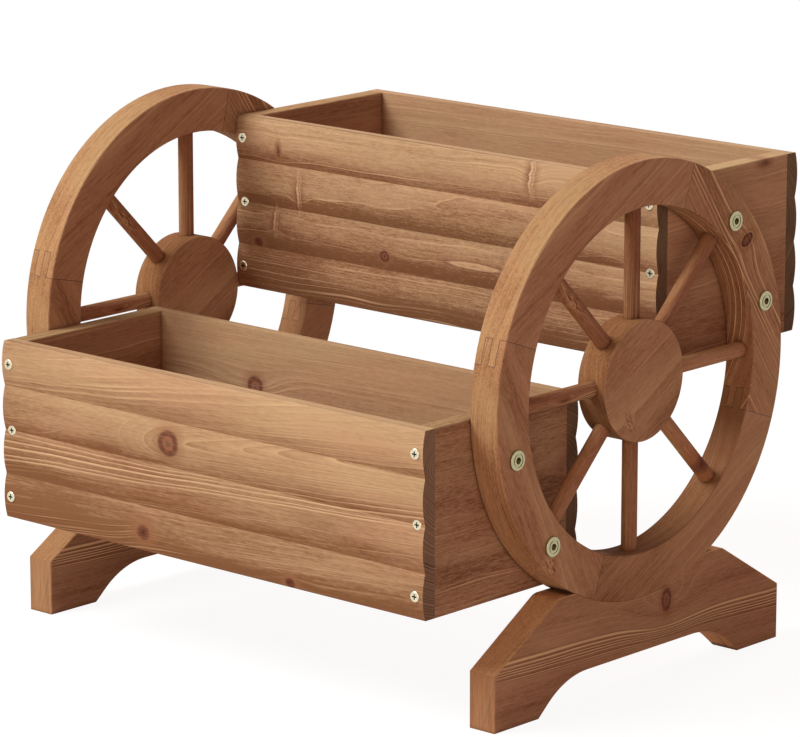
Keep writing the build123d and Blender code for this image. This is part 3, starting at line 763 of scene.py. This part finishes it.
class PLANTER_OT_wheels(bpy.types.Operator):
    """Stain the felloes, hubs and spokes"""

    bl_idname = "planter.wheels"
    bl_label = "Finish the wheels"

    def execute(self, context):
        wood, wheel = context.scene.planter_wood, context.scene.planter_wheel
        # Painted shade on the hub's turned edge; its faces are tinted back to the wheel's stain
        shaded_hub_tone = shade(wood.wheel_stain, *HUB_SIDE_SHADE)
        face_tint = [SANDED[i] * wood.wheel_stain[i] / shaded_hub_tone[i] for i in range(3)]
        steep = math.radians(HUB_GRAIN)
        for side, lightness in SPOKE_LIGHTNESS.items():
            hub = middle(f"{side}_hub")
            rim_middle = hub.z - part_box(f"{side}_felloe_bottom")[0].z - wheel.rim_width / 2
            for part, figure in FELLOE_FIGURE.items():
                figure = dict(figure)
                angle = math.radians(figure.pop("angle"))
                out = Vector((0, math.cos(angle), math.sin(angle)))
                chord = Vector((0, math.sin(angle), -math.cos(angle)))
                inner, outer = figure.pop("inner"), figure.pop("outer")
                # The inner tints of the bottom and rear felloes are painted shade on their rims
                way_tints = (*WHEEL_DRINKS, ((0, -1, 0), inner), ((0, 1, 0), outer))
                finish(f"{side}_felloe_{part}",
                       fir(f"stained fir {side} {part} felloe", wood.wheel_stain, hub + out * rim_middle,
                           chord, (1, 0, 0), way_tints=way_tints, **figure))
            finish(f"{side}_hub",
                   fir(f"stained fir {side} hub", shaded_hub_tone, hub, (0, math.cos(steep), math.sin(steep)),
                       (1, 0, 0), way_tints=(((0, 0, 1), face_tint), ((0, 0, -1), face_tint)), **HUB_FIGURE))
            for index, light in enumerate(lightness):
                angle = math.radians(360 / len(lightness) * index)
                node = f"{side}_spoke_{index + 1}"
                knots_and_shadows = SPOKE_KNOTS_AND_SHADOWS.get(index, ())
                drunk = [tint * light**power for tint, power in zip(SPOKE_TINT, SPOKE_REDDENING)]
                finish(node, fir(f"stained fir {side} spoke {index + 1}", shade(wood.wheel_stain, *drunk),
                                 middle(node), (0, math.cos(angle), math.sin(angle)), (1, 0, 0),
                                 seed=80.0 + index, crest=1.0 if knots_and_shadows else 0.6, way_tints=WHEEL_DRINKS,
                                 knots_and_shadows=knots_and_shadows, **SPOKE_FIGURE))
        return {"FINISHED"}


class PLANTER_OT_feet(bpy.types.Operator):
    """Stain the feet"""

    bl_idname = "planter.feet"
    bl_label = "Finish the feet"

    def execute(self, context):
        tone = context.scene.planter_wood.foot_stain
        for side, tints in FOOT_TINTS.items():
            node = f"{side}_foot"
            # Painted light and shade on the top edge, the underside and the right side
            way_tints = (((0, 1, 0), tints["top"]), ((0, -1, 0), FOOT_UNDERSIDE_LIGHT), ((0, 0, 1), tints["side"]))
            finish(node, fir(f"stained fir {side} foot", tone, middle(node), (0, 1, 0), (1, 0, 0),
                             end_stain=shade(tone, *tints["end"]), way_tints=way_tints, **FOOT_FIGURE))
        return {"FINISHED"}


class PLANTER_OT_fasteners(bpy.types.Operator):
    """Plate the bolts, the insert nuts and the screws"""

    bl_idname = "planter.fasteners"
    bl_label = "Finish the fasteners"

    def execute(self, context):
        metal = context.scene.planter_metal
        bolts = plated_steel("yellow-passivated zinc bolts", metal.bolt_plate, roughness=0.34,
                             shut=0.25, open_to=0.60)
        screws = plated_steel("zinc-plated screws", metal.screw_plate, roughness=0.36,
                              shut=0.55, open_to=0.95)
        for side in SIDES:
            finish(f"{side}_wheel_bolts", bolts)
            finish(f"{side}_insert_nuts", bolts)
            finish(f"{side}_foot_screws", screws)
        for box in BOXES:
            for part in ("panel", "slat", "batten"):
                finish(f"{box}_{part}_screws", screws)
        return {"FINISHED"}


def carried_bar(path, width, low, high):
    """Bar carried along a path on an unrolled sheet, as (points, faces).

    Each path point is moved sideways by half the width along its mitre, which is the sum of the two
    side normals over one plus their product, and stands from low to high above the sheet."""
    path = np.asarray(path, float)
    run = np.diff(path, axis=0)
    run /= np.linalg.norm(run, axis=1)[:, None]
    side = np.stack((-run[:, 1], run[:, 0]), 1)
    before, after = np.vstack((side[:1], side)), np.vstack((side, side[-1:]))
    mitre = (before + after) / (1 + (before * after).sum(1))[:, None]
    corners = ((-0.5, low), (-0.5, high), (0.5, high), (0.5, low))
    points = np.stack([np.column_stack((path + mitre * width * half, np.full(len(path), rise)))
                       for half, rise in corners], 1)
    row = np.arange(len(path) - 1)[:, None] * 4
    corner = np.arange(4)[None, :]
    following = (corner + 1) % 4
    faces = np.stack((row + corner, row + following, row + 4 + following, row + 4 + corner), -1)
    last = 4 * (len(path) - 1)
    caps = np.array(((3, 2, 1, 0), (last, last + 1, last + 2, last + 3)))
    return points.reshape(-1, 3), np.vstack((faces.reshape(-1, 4), caps))


def solid(name, parts, material):
    """One object of several closed parts, riding on the planter."""
    points, faces, start = [], [], 0
    for part_points, part_faces in parts:
        points.append(part_points)
        faces.append(part_faces + start)
        start += len(part_points)
    mesh = bpy.data.meshes.new(name)
    mesh.from_pydata(np.vstack(points).tolist(), [], np.vstack(faces).tolist())
    mesh.materials.append(material)
    mesh.validate()
    piece = bpy.data.objects.new(name, mesh)
    bpy.context.scene.collection.objects.link(piece)
    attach(piece, "root")


class PLANTER_OT_glue_lines(bpy.types.Operator):
    """Draw the glue lines of the finger joints round each wheel"""

    bl_idname = "planter.glue_lines"
    bl_label = "Draw the glue lines"

    def execute(self, context):
        wheel = context.scene.planter_wheel
        material = glue_film("dried wood glue")
        wide, sunk, lift = wheel.glue_width, -wheel.glue_depth, wheel.glue_lift
        corner = np.arange(2 * wheel.finger_count)
        sample = np.linspace(0, corner[-1], SAMPLES * corner[-1] + 1)
        for side, sign in SIDES.items():
            hub = middle(f"{side}_hub")
            low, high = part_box(f"{side}_felloe_bottom")
            outer_x, inner_x = (high.x, low.x) if sign > 0 else (low.x, high.x)
            tread = hub.z - low.z
            rim = tread - wheel.rim_width
            finger = wheel.finger_length / tread
            edge = wheel.edge_width
            strip = (inner_x - outer_x) / wheel.finger_count
            parts = []
            for joint in range(len(FELLOE_FIGURE)):
                start = wheel.joint_angle + joint * math.tau / len(FELLOE_FIGURE)
                corner_x = outer_x + strip * ((corner + 1) // 2)
                corner_x[0] -= sign * edge
                corner_x[-1] += sign * edge
                corner_turn = start + finger * (corner // 2 % 2)
                x, turn = np.interp(sample, corner, corner_x), np.interp(sample, corner, corner_turn)
                # On the tread and the rim the sheet is rolled up: its second length is angle times radius
                for radius, way in ((tread, 1), (rim, -1)):
                    points, faces = carried_bar(np.column_stack((x, turn * radius)), wide, sunk, lift)
                    angle, reach = points[:, 1] / radius, radius + way * points[:, 2]
                    y, z = hub.y + reach * np.cos(angle), hub.z + reach * np.sin(angle)
                    parts.append((np.column_stack((points[:, 0], y, z)), faces))
                # On the faces it lies flat and is turned about the wheel's axis
                for x, angle, out in ((outer_x, corner_turn[0], sign), (inner_x, corner_turn[-1], -sign)):
                    points, faces = carried_bar([(rim + edge, 0), (tread - edge, 0)], wide, sunk, lift)
                    y = hub.y + points[:, 0] * math.cos(angle) - points[:, 1] * math.sin(angle)
                    z = hub.z + points[:, 0] * math.sin(angle) + points[:, 1] * math.cos(angle)
                    parts.append((np.column_stack((x + out * points[:, 2], y, z)), faces))
            solid(f"{side}_glue_lines", parts, material)
        return {"FINISHED"}


class PLANTER_OT_stage(bpy.types.Operator):
    """Lay the floor, hang the lights and set the camera"""

    bl_idname = "planter.stage"
    bl_label = "Lay the stage"

    def execute(self, context):
        stage, scene = context.scene.planter_stage, context.scene
        scene.view_settings.view_transform = "Standard"
        reach = stage.floor_size / 2
        mesh = bpy.data.meshes.new("floor")
        corners = [(-reach, -reach, 0), (reach, -reach, 0), (reach, reach, 0), (-reach, reach, 0)]
        mesh.from_pydata(corners, [], [(0, 1, 2, 3)])
        mesh.materials.append(self.paper(stage))
        floor = bpy.data.objects.new("floor", mesh)
        scene.collection.objects.link(floor)
        scene.world = self.sky(stage)
        low, high = cad_box
        aim = (low + high) / 2
        for name, spot, size in LAMPS:
            place = Vector(spot)
            lamp = bpy.data.lights.new(name, "AREA")
            lamp.shape, lamp.size, lamp.energy = "DISK", size, getattr(stage, name)
            lamp.color = (1, 1, 1) if name == "key" else stage.sky
            light = bpy.data.objects.new(name, lamp)
            light.location = place
            light.rotation_euler = (aim - place).to_track_quat("-Z", "Y").to_euler()
            scene.collection.objects.link(light)
        camera = bpy.data.objects.new("camera", bpy.data.cameras.new("camera"))
        camera.data.lens = stage.lens
        camera.data.clip_end = SIGHT
        camera.location = stage.camera
        camera.rotation_euler = (math.pi / 2 - stage.dip, 0, stage.turn)
        scene.collection.objects.link(camera)
        scene.camera = camera
        return {"FINISHED"}

    def paper(self, stage):
        """Pale studio paper: white to the eye, with a soft shadow near the planter, but matt and
        off-white for light that bounces."""
        material, tree = new_material("pale studio paper")
        point = add(tree, "ShaderNodeTexCoord", out=3)
        away = add(tree, "ShaderNodeVectorMath", {"operation": "LENGTH"}, {0: point}, out=1)
        away = add(tree, "ShaderNodeMapRange", SMOOTH, {0: away, 1: SHADOW_FADE[0], 2: SHADOW_FADE[1]})
        soft = add(tree, "ShaderNodeBsdfDiffuse", None, {0: (*(stage.shadow,) * 3, 1)})
        glow = add(tree, "ShaderNodeEmission", None, {0: (1, 1, 1, 1), 1: PAPER_GLOW})
        near = add(tree, "ShaderNodeAddShader", None, {0: soft, 1: glow})
        far = add(tree, "ShaderNodeEmission", None, {0: (1, 1, 1, 1), 1: 1.0})
        white = add(tree, "ShaderNodeMixShader", None, {0: away, 1: near, 2: far})
        matt = add(tree, "ShaderNodeBsdfDiffuse", None, {0: (*stage.floor, 1)})
        mixed = add(tree, "ShaderNodeMixShader", None, {0: self.seen(tree), 1: matt, 2: white})
        add(tree, "ShaderNodeOutputMaterial", None, {0: mixed})
        return material

    def seen(self, tree):
        """1 for what the camera, a reflection or clear glass shows, 0 for light that bounces."""
        camera = add(tree, "ShaderNodeLightPath")
        rays = camera.node.outputs
        first = add(tree, "ShaderNodeMath", LARGER, {0: camera, 1: rays["Is Glossy Ray"]})
        return add(tree, "ShaderNodeMath", LARGER, {0: first, 1: rays["Is Transmission Ray"]})

    def sky(self, stage):
        """Even sky: white to the eye, dimmer and warmer for the light it gives."""
        world = bpy.data.worlds.new("studio")
        world.use_nodes = True
        tree = world.node_tree
        tree.nodes.clear()
        white = add(tree, "ShaderNodeBackground", None, {0: (1, 1, 1, 1), 1: 1.0})
        light = add(tree, "ShaderNodeBackground", None, {0: (*stage.sky, 1), 1: stage.sky_strength})
        mixed = add(tree, "ShaderNodeMixShader", None, {0: self.seen(tree), 1: light, 2: white})
        add(tree, "ShaderNodeOutputWorld", None, {0: mixed})
        return world


SETTINGS = {
    "planter_wood": PLANTER_PG_wood,
    "planter_wheel": PLANTER_PG_wheel,
    "planter_metal": PLANTER_PG_metal,
    "planter_stage": PLANTER_PG_stage,
}
STEPS = (
    PLANTER_OT_boxes,
    PLANTER_OT_floors,
    PLANTER_OT_wheels,
    PLANTER_OT_feet,
    PLANTER_OT_fasteners,
    PLANTER_OT_glue_lines,
    PLANTER_OT_stage,
)


class PLANTER_PT_panel(bpy.types.Panel):
    """Sidebar panel with the planter's settings and steps"""

    bl_idname = "PLANTER_PT_panel"
    bl_label = "Wagon Wheel Planter"
    bl_space_type = "VIEW_3D"
    bl_region_type = "UI"
    bl_category = "Planter"

    def draw(self, context):
        for name, group in SETTINGS.items():
            box = self.layout.box()
            box.label(text=name.replace("_", " ").capitalize())
            for prop in group.__annotations__:
                box.prop(getattr(context.scene, name), prop)
        for step in STEPS:
            self.layout.operator(step.bl_idname)


def register():
    for cls in (*SETTINGS.values(), *STEPS, PLANTER_PT_panel):
        bpy.utils.register_class(cls)
    for name, group in SETTINGS.items():
        setattr(bpy.types.Scene, name, bpy.props.PointerProperty(type=group))


def unregister():
    for name in SETTINGS:
        delattr(bpy.types.Scene, name)
    for cls in (PLANTER_PT_panel, *reversed(STEPS), *reversed(tuple(SETTINGS.values()))):
        bpy.utils.unregister_class(cls)


def main():
    """Build the scene step by step."""
    register()
    bpy.ops.planter.boxes()
    bpy.ops.planter.floors()
    bpy.ops.planter.wheels()
    bpy.ops.planter.feet()
    bpy.ops.planter.fasteners()
    bpy.ops.planter.glue_lines()
    bpy.ops.planter.stage()


if __name__ == "__main__":
    main()
